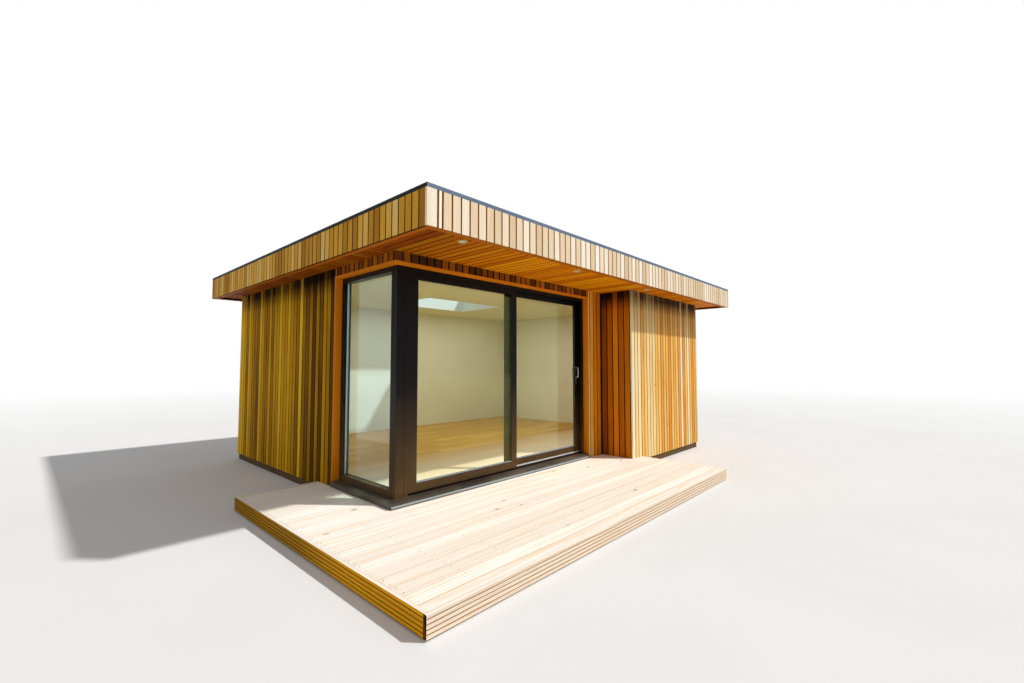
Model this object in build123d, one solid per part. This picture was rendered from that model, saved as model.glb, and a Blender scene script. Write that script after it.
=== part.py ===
from build123d import *
import math
import os

# Garden office pod: a flat-roofed timber room with a glazed corner, a bay that stands
# forward on the right, and a low deck that wraps round the glazed corner.
# Sizes are in millimetres. X runs to the right along the front, Y towards the rear, Z up.
# While modelling, zero is the outer corner of the corner post at the top of the deck.

# Heights above the top of the deck
DECK_HEIGHT = 130
FRAME_HEIGHT = 2100
HEADER_BAND = 85
FASCIA_DROP = 25
CLADDING_FOOT = -45

# Plan of the room, measured to the faces of the cladding
REVEAL = 70
BODY_DEPTH = 4040
GLAZED_FRONT = 2880
GLAZED_SIDE = 1013
PIER_WIDTH = 333
BAY_WIDTH = 2199
BAY_PROJECTION = 466

# Roof overhangs beyond the cladding
OVERHANG_LEFT = 300
OVERHANG_FRONT = 855
OVERHANG_RIGHT = 423
OVERHANG_REAR = 300

# Build-up of walls, floor and roof
CLADDING = 22
WALL = 148
LINING = 12
LINER = 20
LINER_LIP = 4
FLOOR_DECK = 18
ROOM_FLOOR = 65
SOFFIT_BOARD = 18
FASCIA_BOARD = 22
FASCIA_BATTEN = 50
ROOF_PANEL = 222
MEMBRANE = 5
TRIM_HEIGHT = 31
TRIM_WIDTH = 70
TRIM_TOP_WIDTH = 20
TRIM_INNER_EDGE = 8

# Ground frames
JOIST = 45
JOIST_PITCH = 400

# Deck
DECK_LEFT = 778
DECK_FRONT = 1536
DECK_RIGHT = 238
DECK_SIDE_END = 1323
DECK_BOARD = 28
EDGE_BOARD_DEPTH = 120
WALL_GAP = 5

# Corner post, sill and window
POST_WIDTH = 90
POST_DEPTH = 50
POST_CHAMFER = 3
SILL_NOSE = 88
SILL_FRONT = 48
SILL_BACK = 57
WINDOW_FACE = 47
WINDOW_BOTTOM = 55
WINDOW_GLASS_RECESS = 50

# Sliding door frame: two tracks side by side between three lips
FRAME_LIP = 5
FRAME_FACE = 45
FRAME_BAR = 20
HEAD_BAR = 25
THRESHOLD_BED = 40
THRESHOLD_LIP = 84
RAIL_TOP = 76
RAIL_WIDTH = 4

# Sliding door leaves
LEAF = 40
CLEARANCE = 5
RAIL_CLEARANCE = 6
STILE = 85
POST_STILE = 126
BOTTOM_RAIL_TOP = 160
TOP_RAIL = 70
FIXED_LEAF_WIDTH = 1463
LEAF_OVERLAP = 125
GLASS = 24
GLASS_BITE = 12
GLASS_SLACK = 0.3
BEAD_CHAMFER = 5
INTERLOCK_DEPTH = 6
INTERLOCK_WIDTH = 5
INTERLOCK_GAP = 8
INTERLOCK_MARGIN = 25

# Rollers under the sliding leaf
ROLLER_RADIUS = 8
ROLLER_WIDTH = 8
ROLLER_AXLE_RADIUS = 3
ROLLER_GAP = 0.3
ROLLER_INSET = 180
ROLLER_SLOT_WIDTH = 16
ROLLER_SLOT_HEIGHT = 20

# Pull handles
HANDLE_INSET = 55
HANDLE_Z = 1080
HANDLE_PLATE_WIDTH = 30
HANDLE_PLATE_LENGTH = 230
HANDLE_PLATE = 4
HANDLE_GRIP_LENGTH = 130
HANDLE_GRIP_RADIUS = 7
HANDLE_STANDOFF = 35
CYLINDER_RADIUS = 9
CYLINDER_DROP = 78

# Rooflight
ROOFLIGHT_LEFT = 1830
ROOFLIGHT_FRONT = 2000
ROOFLIGHT_LENGTH = 1500
ROOFLIGHT_WIDTH = 1000
ROOFLIGHT_KERB = 50
ROOFLIGHT_RISE = 70
ROOFLIGHT_FRAME = 20
ROOFLIGHT_SKIRT = 40
ROOFLIGHT_LIP = 8
ROOFLIGHT_GLASS = 24

# Soffit lights
LIGHT_COUNT = 3
LIGHT_FIRST = 150
LIGHT_PITCH = 1600
LIGHT_LINE = -700
LIGHT_HOLE_RADIUS = 38
LIGHT_BEZEL_RADIUS = 43
LIGHT_BEZEL = 3
LIGHT_LENS_RADIUS = 28
LIGHT_RECESS = 8
LIGHT_BODY = 14
LIGHT_SLACK = 2

# Hairline joints between pieces of one kind
JOINT = 0.5

# Planes worked out from the sizes above
CLAD_LEFT = -REVEAL
CLAD_FRONT = -REVEAL
CLAD_REAR = CLAD_FRONT + BODY_DEPTH
CLAD_RETURN = GLAZED_FRONT + PIER_WIDTH
CLAD_RIGHT = CLAD_RETURN + BAY_WIDTH
CLAD_BAY = CLAD_FRONT - BAY_PROJECTION

OUT_LEFT = CLAD_LEFT + CLADDING
OUT_FRONT = CLAD_FRONT + CLADDING
OUT_REAR = CLAD_REAR - CLADDING
OUT_RIGHT = CLAD_RIGHT - CLADDING
OUT_RETURN = CLAD_RETURN + CLADDING
OUT_BAY = CLAD_BAY + CLADDING

IN_LEFT = OUT_LEFT + WALL
IN_FRONT = OUT_FRONT + WALL
IN_REAR = OUT_REAR - WALL
IN_RIGHT = OUT_RIGHT - WALL
IN_RETURN = OUT_RETURN + WALL
IN_BAY = OUT_BAY + WALL

LINED_LEFT = IN_LEFT + LINING
LINED_FRONT = IN_FRONT + LINING
LINED_REAR = IN_REAR - LINING
LINED_RIGHT = IN_RIGHT - LINING
LINED_RETURN = IN_RETURN + LINING
LINED_BAY = IN_BAY + LINING

OPENING_TOP = FRAME_HEIGHT + LINER
OPENING_RIGHT = GLAZED_FRONT + LINER
OPENING_REAR = GLAZED_SIDE + LINER
CEILING_HEIGHT = OPENING_TOP + HEADER_BAND
ROOF_UNDERSIDE = CEILING_HEIGHT + SOFFIT_BOARD
ROOF_TOP = ROOF_UNDERSIDE + ROOF_PANEL
FASCIA_TOP = ROOF_TOP + MEMBRANE

FASCIA_LEFT = CLAD_LEFT - OVERHANG_LEFT
FASCIA_FRONT = CLAD_FRONT - OVERHANG_FRONT
FASCIA_RIGHT = CLAD_RIGHT + OVERHANG_RIGHT
FASCIA_REAR = CLAD_REAR + OVERHANG_REAR
ROOF_LEFT = FASCIA_LEFT + FASCIA_BOARD
ROOF_FRONT = FASCIA_FRONT + FASCIA_BOARD
ROOF_RIGHT = FASCIA_RIGHT - FASCIA_BOARD
ROOF_REAR = FASCIA_REAR - FASCIA_BOARD

GROUND = -DECK_HEIGHT
DECK_X0 = CLAD_LEFT - DECK_LEFT
DECK_X1 = CLAD_RETURN + DECK_RIGHT
DECK_Y0 = CLAD_FRONT - DECK_FRONT
BOARDS_LEFT = DECK_X0 + DECK_BOARD
BOARDS_RIGHT = DECK_X1 - DECK_BOARD
BOARDS_FRONT = DECK_Y0 + DECK_BOARD
BOARDS_END = DECK_SIDE_END - DECK_BOARD
DECK_AT_BAY = CLAD_BAY - WALL_GAP
DECK_AT_RETURN = CLAD_RETURN - WALL_GAP
DECK_AT_FRONT = CLAD_FRONT - WALL_GAP
DECK_AT_LEFT = CLAD_LEFT - WALL_GAP

# The glazing frame is as deep as the wall from the post's face to the lining
FRAME_DEPTH = LINED_FRONT
INNER_LIP = FRAME_DEPTH - FRAME_LIP
SLIDING_FACE = INNER_LIP - CLEARANCE - LEAF
MIDDLE_LIP = SLIDING_FACE - CLEARANCE - FRAME_LIP
FIXED_FACE = 2 * FRAME_LIP
FIXED_BACK = FIXED_FACE + LEAF
SLIDING_BACK = SLIDING_FACE + LEAF
LIPS = (0, MIDDLE_LIP, INNER_LIP)
LEAVES_TOP = FRAME_HEIGHT - HEAD_BAR - CLEARANCE
FIXED_LEAF_START = POST_WIDTH + FRAME_BAR
FIXED_LEAF_END = FIXED_LEAF_START + FIXED_LEAF_WIDTH
SLIDING_LEAF_START = FIXED_LEAF_END - LEAF_OVERLAP
SLIDING_LEAF_END = GLAZED_FRONT - FRAME_BAR - CLEARANCE
SLIDING_LEAF_FOOT = RAIL_TOP + RAIL_CLEARANCE

# The part's own origin: ground level, under the middle of the whole outline
PLACE = Pos(-(DECK_X0 + FASCIA_RIGHT) / 2, -(DECK_Y0 + FASCIA_REAR) / 2, DECK_HEIGHT)


def save(name, shape):
    """Write one sub-part in the part's own frame."""
    export_step(PLACE * shape, os.path.join("parts", name + ".step"))


def block(x, y, z):
    """A rectangular piece between pairs of planes."""
    size = Box(x[1] - x[0], y[1] - y[0], z[1] - z[0], align=(Align.MIN, Align.MIN, Align.MIN))
    return Pos(x[0], y[0], z[0]) * size


def slab(outline, z):
    """A plan outline drawn through its corners and given a thickness."""
    return Pos(0, 0, z[0]) * extrude(make_face(Polyline(*outline, close=True)), z[1] - z[0])


def along_x(profile, x):
    """A section of (y, z) points run along X."""
    face = Plane.YZ * make_face(Polyline(*profile, close=True))
    return Pos(x[0], 0, 0) * extrude(face, x[1] - x[0], dir=(1, 0, 0))


def along_y(profile, y):
    """A section of (x, z) points run along Y."""
    face = Plane.XZ * make_face(Polyline(*profile, close=True))
    return Pos(0, y[0], 0) * extrude(face, y[1] - y[0], dir=(0, 1, 0))


def group(*shapes):
    """Several solids kept apart in one sub-part."""
    solids = []
    for shape in shapes:
        solids.extend(shape.solids())
    return Compound(solids)


def mitred_ring(section, x, y):
    """Run a section of (inward, z) points round a rectangle, mitred at the corners."""
    width = max(point[0] for point in section)
    z = (min(point[1] for point in section), max(point[1] for point in section))
    lengths = []
    for edge, inward in ((y[0], 1), (y[1], -1)):
        run = along_x([(edge + inward * u, v) for u, v in section], x)
        deep = edge + inward * width
        start = x[0] + JOINT
        end = x[1] - JOINT
        plan = [(start, edge), (end, edge), (end - width, deep), (start + width, deep)]
        lengths.append(run & slab(plan, z))
    for edge, inward in ((x[0], 1), (x[1], -1)):
        run = along_y([(edge + inward * u, v) for u, v in section], y)
        deep = edge + inward * width
        start = y[0] + JOINT
        end = y[1] - JOINT
        plan = [(edge, start), (edge, end), (deep, end - width), (deep, start + width)]
        lengths.append(run & slab(plan, z))
    return group(*lengths)


def joist_frame(x, y, z):
    """Bearers round a rectangle with joists along Y between them."""
    frame = block(x, y, z)
    clear = x[1] - x[0] - JOIST
    bays = math.ceil(clear / JOIST_PITCH)
    pitch = clear / bays
    for number in range(bays):
        start = x[0] + JOIST + number * pitch
        frame -= block((start, start + pitch - JOIST), (y[0] + JOIST, y[1] - JOIST), z)
    return frame


def ground_frames():
    """Timber frames that carry the room and the deck on the ground."""
    z = (GROUND, -FLOOR_DECK)
    room = joist_frame((OUT_LEFT, OUT_RIGHT), (OUT_FRONT, OUT_REAR), z)
    bay = joist_frame((OUT_RETURN, OUT_RIGHT), (OUT_BAY, OUT_FRONT - JOINT), z)
    save("base_frame", group(room, bay))

    z = (GROUND, -DECK_BOARD)
    front = joist_frame((BOARDS_LEFT, BOARDS_RIGHT), (BOARDS_FRONT, DECK_AT_BAY), z)
    middle_y = (DECK_AT_BAY + JOINT, DECK_AT_FRONT)
    middle = joist_frame((BOARDS_LEFT, DECK_AT_RETURN), middle_y, z)
    side = joist_frame((BOARDS_LEFT, DECK_AT_LEFT), (DECK_AT_FRONT + JOINT, BOARDS_END), z)
    save("deck_frame", group(front, middle, side))


def deck():
    """Board field of the deck and the boards round its edge."""
    z = (-DECK_BOARD, 0)
    left = BOARDS_LEFT + JOINT
    front = block((left, BOARDS_RIGHT - JOINT), (BOARDS_FRONT + JOINT, DECK_AT_BAY), z)
    middle = block((left, DECK_AT_RETURN), (DECK_AT_BAY + JOINT, DECK_AT_FRONT), z)
    side = block((left, DECK_AT_LEFT), (DECK_AT_FRONT + JOINT, BOARDS_END - JOINT), z)
    save("deck_boards", group(front, middle, side))

    z = (-EDGE_BOARD_DEPTH, 0)
    front = block((DECK_X0, DECK_X1), (DECK_Y0, BOARDS_FRONT), z)
    left = block((DECK_X0, BOARDS_LEFT), (BOARDS_FRONT + JOINT, DECK_SIDE_END), z)
    right = block((BOARDS_RIGHT, DECK_X1), (BOARDS_FRONT + JOINT, DECK_AT_BAY), z)
    rear = block((BOARDS_LEFT + JOINT, DECK_AT_LEFT), (BOARDS_END, DECK_SIDE_END), z)
    save("deck_edge_boards", group(front, left, right, rear))


def floor():
    """Sheet floor under the walls and the boarded, insulated floor inside them."""
    z = (-FLOOR_DECK, 0)
    room = block((OUT_LEFT, OUT_RIGHT), (OUT_FRONT, OUT_REAR), z)
    bay = block((OUT_RETURN, OUT_RIGHT), (OUT_BAY, OUT_FRONT - JOINT), z)
    save("floor_deck", group(room, bay))

    z = (0, ROOM_FLOOR)
    room = block((LINED_LEFT, LINED_RIGHT), (FRAME_DEPTH, LINED_REAR), z)
    bay = block((LINED_RETURN, LINED_RIGHT), (LINED_BAY, FRAME_DEPTH - JOINT), z)
    strip = block((POST_WIDTH, LINED_LEFT - JOINT), (FRAME_DEPTH, GLAZED_SIDE), z)
    save("room_floor", group(room, bay, strip))


def walls():
    """Insulated wall panels, split beside and over the glazed corner."""
    full = (0, ROOF_UNDERSIDE)
    over = (OPENING_TOP, ROOF_UNDERSIDE)
    save("left_wall", block((OUT_LEFT, IN_LEFT), (OPENING_REAR, IN_REAR), full))
    save("rear_wall", block((OUT_LEFT, OUT_RIGHT), (IN_REAR, OUT_REAR), full))
    save("right_wall", block((IN_RIGHT, OUT_RIGHT), (OUT_BAY, IN_REAR), full))
    save("bay_front_wall", block((OUT_RETURN, IN_RIGHT), (OUT_BAY, IN_BAY), full))
    save("bay_return_wall", block((OUT_RETURN, IN_RETURN), (IN_BAY, IN_FRONT), full))
    save("front_pier", block((OPENING_RIGHT, OUT_RETURN), (OUT_FRONT, IN_FRONT), full))
    front = block((OUT_LEFT, OPENING_RIGHT), (OUT_FRONT, IN_FRONT), over)
    side = block((OUT_LEFT, IN_LEFT), (IN_FRONT + JOINT, OPENING_REAR), over)
    save("lintels", group(front, side))


def linings():
    """Painted boards inside the walls, and the ceiling with the rooflight's shaft."""
    z = (0, CEILING_HEIGHT)
    over = (OPENING_TOP, CEILING_HEIGHT)
    rear_y = LINED_REAR - JOINT
    head_y = (IN_FRONT, LINED_FRONT)
    save(
        "wall_linings",
        group(
            block((IN_LEFT, IN_RIGHT), (LINED_REAR, IN_REAR), z),
            block((IN_LEFT, LINED_LEFT), (OPENING_REAR, rear_y), z),
            block((LINED_RIGHT, IN_RIGHT), (IN_BAY, rear_y), z),
            block((IN_RETURN, LINED_RIGHT - JOINT), (IN_BAY, LINED_BAY), z),
            block((IN_RETURN, LINED_RETURN), (LINED_BAY + JOINT, LINED_FRONT), z),
            block((OPENING_RIGHT, IN_RETURN - JOINT), head_y, z),
            block((IN_LEFT, OPENING_RIGHT - JOINT), head_y, over),
            block((IN_LEFT, LINED_LEFT), (LINED_FRONT + JOINT, OPENING_REAR - JOINT), over),
        ),
    )

    z = (CEILING_HEIGHT, ROOF_UNDERSIDE)
    outline = [
        (IN_LEFT, IN_FRONT),
        (IN_RETURN, IN_FRONT),
        (IN_RETURN, IN_BAY),
        (IN_RIGHT, IN_BAY),
        (IN_RIGHT, IN_REAR),
        (IN_LEFT, IN_REAR),
    ]
    shaft_z = (CEILING_HEIGHT, ROOF_TOP + ROOFLIGHT_RISE)
    shaft = rooflight_block(LINING, shaft_z) - rooflight_block(0, shaft_z)
    save("ceiling", slab(outline, z) - rooflight_block(LINING, z) + shaft)


def cladding():
    """Skins of upright boards on each face of the walls."""
    z = (CLADDING_FOOT, CEILING_HEIGHT)
    header = (OPENING_TOP, CEILING_HEIGHT)
    save("left_cladding", block((CLAD_LEFT, OUT_LEFT), (OPENING_REAR, CLAD_REAR), z))
    save("rear_cladding", block((OUT_LEFT, OUT_RIGHT), (OUT_REAR, CLAD_REAR), z))
    save("right_cladding", block((OUT_RIGHT, CLAD_RIGHT), (CLAD_BAY, CLAD_REAR), z))
    save("bay_cladding", block((CLAD_RETURN, OUT_RIGHT), (CLAD_BAY, OUT_BAY), z))
    save("return_cladding", block((CLAD_RETURN, OUT_RETURN), (OUT_BAY, OUT_FRONT), z))
    pier = block((OPENING_RIGHT, CLAD_RETURN), (CLAD_FRONT, OUT_FRONT), z)
    front = block((CLAD_LEFT, OPENING_RIGHT - JOINT), (CLAD_FRONT, OUT_FRONT), header)
    side = block((CLAD_LEFT, OUT_LEFT), (OUT_FRONT + JOINT, OPENING_REAR), header)
    save("opening_cladding", group(pier, front, side))


def opening_liner():
    """Timber boards that line the reveal of the glazed corner."""
    lip_x = CLAD_LEFT - LINER_LIP
    lip_y = CLAD_FRONT - LINER_LIP
    upright = (0, FRAME_HEIGHT - JOINT)
    head = (FRAME_HEIGHT, OPENING_TOP)
    right = block((GLAZED_FRONT, OPENING_RIGHT), (lip_y, LINED_FRONT), upright)
    rear = block((lip_x, LINED_LEFT), (GLAZED_SIDE, OPENING_REAR), upright)
    front_head = block((lip_x, OPENING_RIGHT), (lip_y, LINED_FRONT), head)
    side_head = block((lip_x, LINED_LEFT), (LINED_FRONT + JOINT, OPENING_REAR), head)
    save("opening_liner", group(right, rear, front_head, side_head))


def rooflight_block(margin, z):
    """Space of the rooflight shaft, widened by a margin."""
    x = (ROOFLIGHT_LEFT - margin, ROOFLIGHT_LEFT + ROOFLIGHT_LENGTH + margin)
    y = (ROOFLIGHT_FRONT - margin, ROOFLIGHT_FRONT + ROOFLIGHT_WIDTH + margin)
    return block(x, y, z)


def rooflight_ring(section, margin):
    """Mitred lengths round the rooflight shaft, measured out to a margin."""
    x = (ROOFLIGHT_LEFT - margin, ROOFLIGHT_LEFT + ROOFLIGHT_LENGTH + margin)
    y = (ROOFLIGHT_FRONT - margin, ROOFLIGHT_FRONT + ROOFLIGHT_WIDTH + margin)
    return mitred_ring(section, x, y)


def roof():
    """Insulated roof panels, their sheet, the fascias and the metal edge."""
    z = (ROOF_UNDERSIDE, ROOF_TOP)
    hole_x = (ROOFLIGHT_LEFT - LINING, ROOFLIGHT_LEFT + ROOFLIGHT_LENGTH + LINING)
    hole_y = (ROOFLIGHT_FRONT - LINING, ROOFLIGHT_FRONT + ROOFLIGHT_WIDTH + LINING)
    save(
        "roof_panel",
        group(
            block((ROOF_LEFT, hole_x[0]), (ROOF_FRONT, ROOF_REAR), z),
            block((hole_x[1], ROOF_RIGHT), (ROOF_FRONT, ROOF_REAR), z),
            block((hole_x[0] + JOINT, hole_x[1] - JOINT), (ROOF_FRONT, hole_y[0]), z),
            block((hole_x[0] + JOINT, hole_x[1] - JOINT), (hole_y[1], ROOF_REAR), z),
        ),
    )

    z = (ROOF_TOP, ROOF_TOP + MEMBRANE)
    sheet = block((ROOF_LEFT, ROOF_RIGHT), (ROOF_FRONT, ROOF_REAR), z)
    save("roof_membrane", sheet - rooflight_block(LINING + ROOFLIGHT_KERB, z))

    z = (CEILING_HEIGHT - FASCIA_DROP, FASCIA_TOP)
    between = (ROOF_FRONT + JOINT, ROOF_REAR - JOINT)
    save(
        "fascias",
        group(
            block((FASCIA_LEFT, FASCIA_RIGHT), (FASCIA_FRONT, ROOF_FRONT), z),
            block((FASCIA_LEFT, FASCIA_RIGHT), (ROOF_REAR, FASCIA_REAR), z),
            block((FASCIA_LEFT, ROOF_LEFT), between, z),
            block((ROOF_RIGHT, FASCIA_RIGHT), between, z),
        ),
    )

    section = [
        (0, FASCIA_TOP),
        (TRIM_WIDTH, FASCIA_TOP),
        (TRIM_WIDTH, FASCIA_TOP + TRIM_INNER_EDGE),
        (TRIM_TOP_WIDTH, FASCIA_TOP + TRIM_HEIGHT),
        (0, FASCIA_TOP + TRIM_HEIGHT),
    ]
    save(
        "roof_edge_trim",
        mitred_ring(section, (FASCIA_LEFT, FASCIA_RIGHT), (FASCIA_FRONT, FASCIA_REAR)),
    )


def soffit():
    """Boarding and battens under the overhangs, with recessed lights along the front."""
    z = (CEILING_HEIGHT, ROOF_UNDERSIDE)
    front = block((ROOF_LEFT, OUT_RETURN - JOINT), (ROOF_FRONT, OUT_FRONT), z)
    bay = block((OUT_RETURN, ROOF_RIGHT), (ROOF_FRONT, OUT_BAY), z)
    left = block((ROOF_LEFT, OUT_LEFT), (OUT_FRONT + JOINT, ROOF_REAR), z)
    right = block((OUT_RIGHT, ROOF_RIGHT), (OUT_BAY + JOINT, ROOF_REAR), z)
    rear = block((OUT_LEFT + JOINT, OUT_RIGHT - JOINT), (OUT_REAR, ROOF_REAR), z)
    places = [(LIGHT_FIRST + number * LIGHT_PITCH, LIGHT_LINE) for number in range(LIGHT_COUNT)]
    for place in places:
        hole = Pos(place[0], place[1], z[0]) * Cylinder(LIGHT_HOLE_RADIUS, 3 * SOFFIT_BOARD)
        front -= hole
        bay -= hole

    # Battens along the fascias' feet hide the ends of the boards
    z = (CEILING_HEIGHT - FASCIA_DROP, CEILING_HEIGHT - JOINT)
    batten_y = (ROOF_FRONT + FASCIA_BATTEN, ROOF_REAR - FASCIA_BATTEN)
    between = (batten_y[0] + JOINT, batten_y[1] - JOINT)
    battens = group(
        block((ROOF_LEFT, ROOF_RIGHT), (ROOF_FRONT, batten_y[0]), z),
        block((ROOF_LEFT, ROOF_RIGHT), (batten_y[1], ROOF_REAR), z),
        block((ROOF_LEFT, ROOF_LEFT + FASCIA_BATTEN), between, z),
        block((ROOF_RIGHT - FASCIA_BATTEN, ROOF_RIGHT), between, z),
    )
    save("soffit", group(front, bay, left, right, rear, battens))

    body_radius = LIGHT_HOLE_RADIUS - LIGHT_SLACK
    section = [
        (0, LIGHT_RECESS),
        (LIGHT_LENS_RADIUS, LIGHT_RECESS),
        (LIGHT_BEZEL_RADIUS - LIGHT_BEZEL, -LIGHT_BEZEL),
        (LIGHT_BEZEL_RADIUS, 0),
        (body_radius, 0),
        (body_radius, LIGHT_BODY),
        (0, LIGHT_BODY),
    ]
    light = revolve(Plane.XZ * make_face(Polyline(*section, close=True)), Axis.Z)
    lights = [Pos(place[0], place[1], CEILING_HEIGHT) * light for place in places]
    save("soffit_lights", group(*lights))


def rooflight():
    """Timber kerb, metal frame with a skirt, and flat glass unit."""
    kerb_top = ROOF_TOP + ROOFLIGHT_RISE
    kerb = [
        (0, ROOF_TOP),
        (ROOFLIGHT_KERB, ROOF_TOP),
        (ROOFLIGHT_KERB, kerb_top),
        (0, kerb_top),
    ]
    kerb_margin = LINING + ROOFLIGHT_KERB
    save("rooflight_kerb", rooflight_ring(kerb, kerb_margin))

    margin = kerb_margin + ROOFLIGHT_LIP
    frame = [
        (0, kerb_top - ROOFLIGHT_SKIRT),
        (ROOFLIGHT_LIP, kerb_top - ROOFLIGHT_SKIRT),
        (ROOFLIGHT_LIP, kerb_top),
        (margin, kerb_top),
        (margin, kerb_top + ROOFLIGHT_FRAME),
        (0, kerb_top + ROOFLIGHT_FRAME),
    ]
    save("rooflight_frame", rooflight_ring(frame, margin))

    glass_z = (kerb_top + ROOFLIGHT_FRAME, kerb_top + ROOFLIGHT_FRAME + ROOFLIGHT_GLASS)
    glass = rooflight_block(margin, glass_z)
    glass = fillet(glass.edges().filter_by(Axis.Z), ROOFLIGHT_LIP)
    save("rooflight_glass", chamfer(glass.faces().sort_by(Axis.Z)[-1].edges(), POST_CHAMFER))


def sill():
    """Sloping sill whose nose turns the glazed corner with a mitre."""
    nose = [(0, 0), (-SILL_NOSE, 0), (-SILL_NOSE, SILL_FRONT), (0, SILL_BACK)]
    foot = [(-SILL_NOSE, 0), (POST_WIDTH, 0), (POST_WIDTH, SILL_BACK), (0, SILL_BACK)]
    side = along_y(foot + [(-SILL_NOSE, SILL_FRONT)], (-SILL_NOSE, GLAZED_SIDE))
    front = along_x(nose, (-SILL_NOSE, GLAZED_FRONT))
    z = (0, SILL_BACK)
    corner = (-SILL_NOSE, -SILL_NOSE)
    side -= slab([corner, (POST_WIDTH, -SILL_NOSE), (POST_WIDTH, 0), (0, 0)], z)
    front -= slab([corner, (JOINT, JOINT), (-SILL_NOSE, JOINT)], z)
    front = Pos(JOINT, -JOINT, 0) * front
    front -= block((GLAZED_FRONT, GLAZED_FRONT + REVEAL), (-2 * SILL_NOSE, 0), z)
    front -= block((-SILL_NOSE, GLAZED_FRONT), (-2 * SILL_NOSE, -SILL_NOSE), z)
    save("sill", group(side, front))


def door_frame():
    """Corner post, head and jambs, and the threshold with its lips and rails."""
    post = block((0, POST_WIDTH), (0, POST_DEPTH), (SILL_BACK, FRAME_HEIGHT))
    save("corner_post", chamfer(post.edges().filter_by(Axis.Z), POST_CHAMFER))

    deep = (0, FRAME_DEPTH)
    x = (POST_WIDTH, GLAZED_FRONT)
    head_z = FRAME_HEIGHT - HEAD_BAR
    jamb_z = (THRESHOLD_BED, head_z - JOINT)
    left_bar = x[0] + FRAME_BAR
    right_bar = x[1] - FRAME_BAR
    save(
        "door_frame",
        group(
            block(x, deep, (head_z, FRAME_HEIGHT)),
            block((x[0], left_bar), deep, jamb_z),
            block((right_bar, x[1]), deep, jamb_z),
        ),
    )
    save("threshold", block(x, deep, (0, THRESHOLD_BED)))

    # The middle lip of the threshold is bare metal like the rails
    lips = []
    rails = []
    for start in LIPS:
        y = (start, start + FRAME_LIP)
        sill_top = SILL_BACK if start == 0 else THRESHOLD_LIP
        bottom = rails if start == MIDDLE_LIP else lips
        bottom.append(block((left_bar, right_bar), y, (THRESHOLD_BED, sill_top)))
        side_z = (sill_top + JOINT, FRAME_HEIGHT - FRAME_FACE - JOINT)
        lips.append(block((left_bar, x[0] + FRAME_FACE), y, side_z))
        lips.append(block((x[1] - FRAME_FACE, right_bar), y, side_z))
        lips.append(block((left_bar, right_bar), y, (FRAME_HEIGHT - FRAME_FACE, head_z)))
    save("track_lips", group(*lips))

    for face in (FIXED_FACE, SLIDING_FACE):
        centre = face + LEAF / 2
        y = (centre - RAIL_WIDTH / 2, centre + RAIL_WIDTH / 2)
        rail = block((left_bar, right_bar), y, (THRESHOLD_BED, RAIL_TOP))
        top_edges = rail.edges().filter_by(Axis.X).group_by(Axis.Z)[-1]
        rails.append(fillet(top_edges, RAIL_WIDTH / 3))
    save("track_rails", group(*rails))


def glazed_frame(x, face, depth, z, sight_x, sight_z, pane_y):
    """Two stiles with two rails between them round a pane, and the pane itself."""
    y = (face, face + depth)
    pane_x = (sight_x[0] - GLASS_BITE, sight_x[1] + GLASS_BITE)
    pane_z = (sight_z[0] - GLASS_BITE, sight_z[1] + GLASS_BITE)
    pocket = block(
        (pane_x[0] - GLASS_SLACK, pane_x[1] + GLASS_SLACK),
        (pane_y[0] - GLASS_SLACK, pane_y[1] + GLASS_SLACK),
        (pane_z[0] - GLASS_SLACK, pane_z[1] + GLASS_SLACK),
    )
    frame = block(x, y, z) - block(sight_x, y, sight_z)
    outside = frame.faces().sort_by(Axis.Y)[0]
    frame = chamfer(outside.inner_wires()[0].edges(), BEAD_CHAMFER) - pocket
    for line in sight_x:
        cut = (line - JOINT / 2, line + JOINT / 2)
        frame -= block(cut, y, (z[0], sight_z[0]))
        frame -= block(cut, y, (sight_z[1], z[1]))
    return frame, block(pane_x, pane_y, pane_z)


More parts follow.
